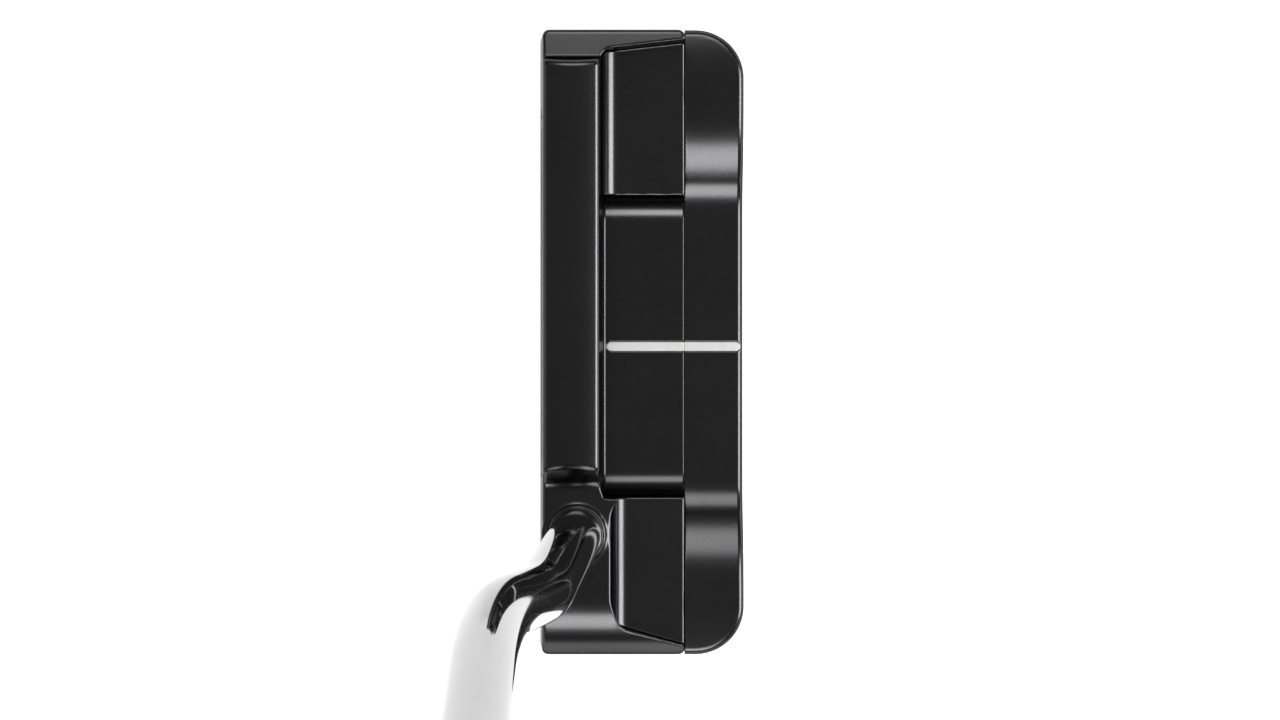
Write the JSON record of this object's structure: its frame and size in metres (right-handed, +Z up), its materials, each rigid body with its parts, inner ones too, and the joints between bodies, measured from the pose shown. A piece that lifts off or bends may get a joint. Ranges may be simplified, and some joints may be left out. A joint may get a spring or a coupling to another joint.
{
  "type": "mallet putter",
  "caption": "Right-handed wide-blade mallet putter: milled head with a separate rear bar and a white alignment line, double-bend chrome shaft and pistol grip.",
  "frame": {"origin": "on the sole, under the middle of the head, with the club standing at address", "axes": "+Z up; the striking face looks along -Y; the toe is at -X and the heel, shaft and golfer are at +X"},
  "size_m": [0.3349, 0.0549, 0.8246],
  "materials": {
    "head_black": "satin",
    "bar_black": "satin",
    "insert_polymer": "satin",
    "white_paint": "satin",
    "chrome_shaft": "polished",
    "bright_steel": "satin",
    "black_steel": "satin",
    "nylon": "matte",
    "adhesive": "satin",
    "tape": "matte",
    "grip_rubber": "matte",
    "cap_rubber": "satin"
  },
  "bodies": {
    "root": {"head_body": "head_black", "rear_bar": "bar_black", "face_insert": "insert_polymer", "insert_pad": "adhesive", "alignment_line_front": "white_paint", "alignment_line_rear": "white_paint", "sole_weight_toe": "bright_steel", "sole_weight_heel": "bright_steel", "weight_washer_toe": "nylon", "weight_washer_heel": "nylon", "rear_bar_dowel_toe": "bright_steel", "rear_bar_dowel_heel": "bright_steel", "rear_bar_screw_1": "black_steel", "rear_bar_screw_2": "black_steel", "rear_bar_screw_3": "black_steel", "rear_bar_screw_4": "black_steel", "shaft": "chrome_shaft", "shaft_epoxy": "adhesive", "shaft_tip_plug": "nylon", "grip_tape": "tape", "grip_sleeve": "grip_rubber", "grip_cap": "cap_rubber"}
  },
  "joints": []
}
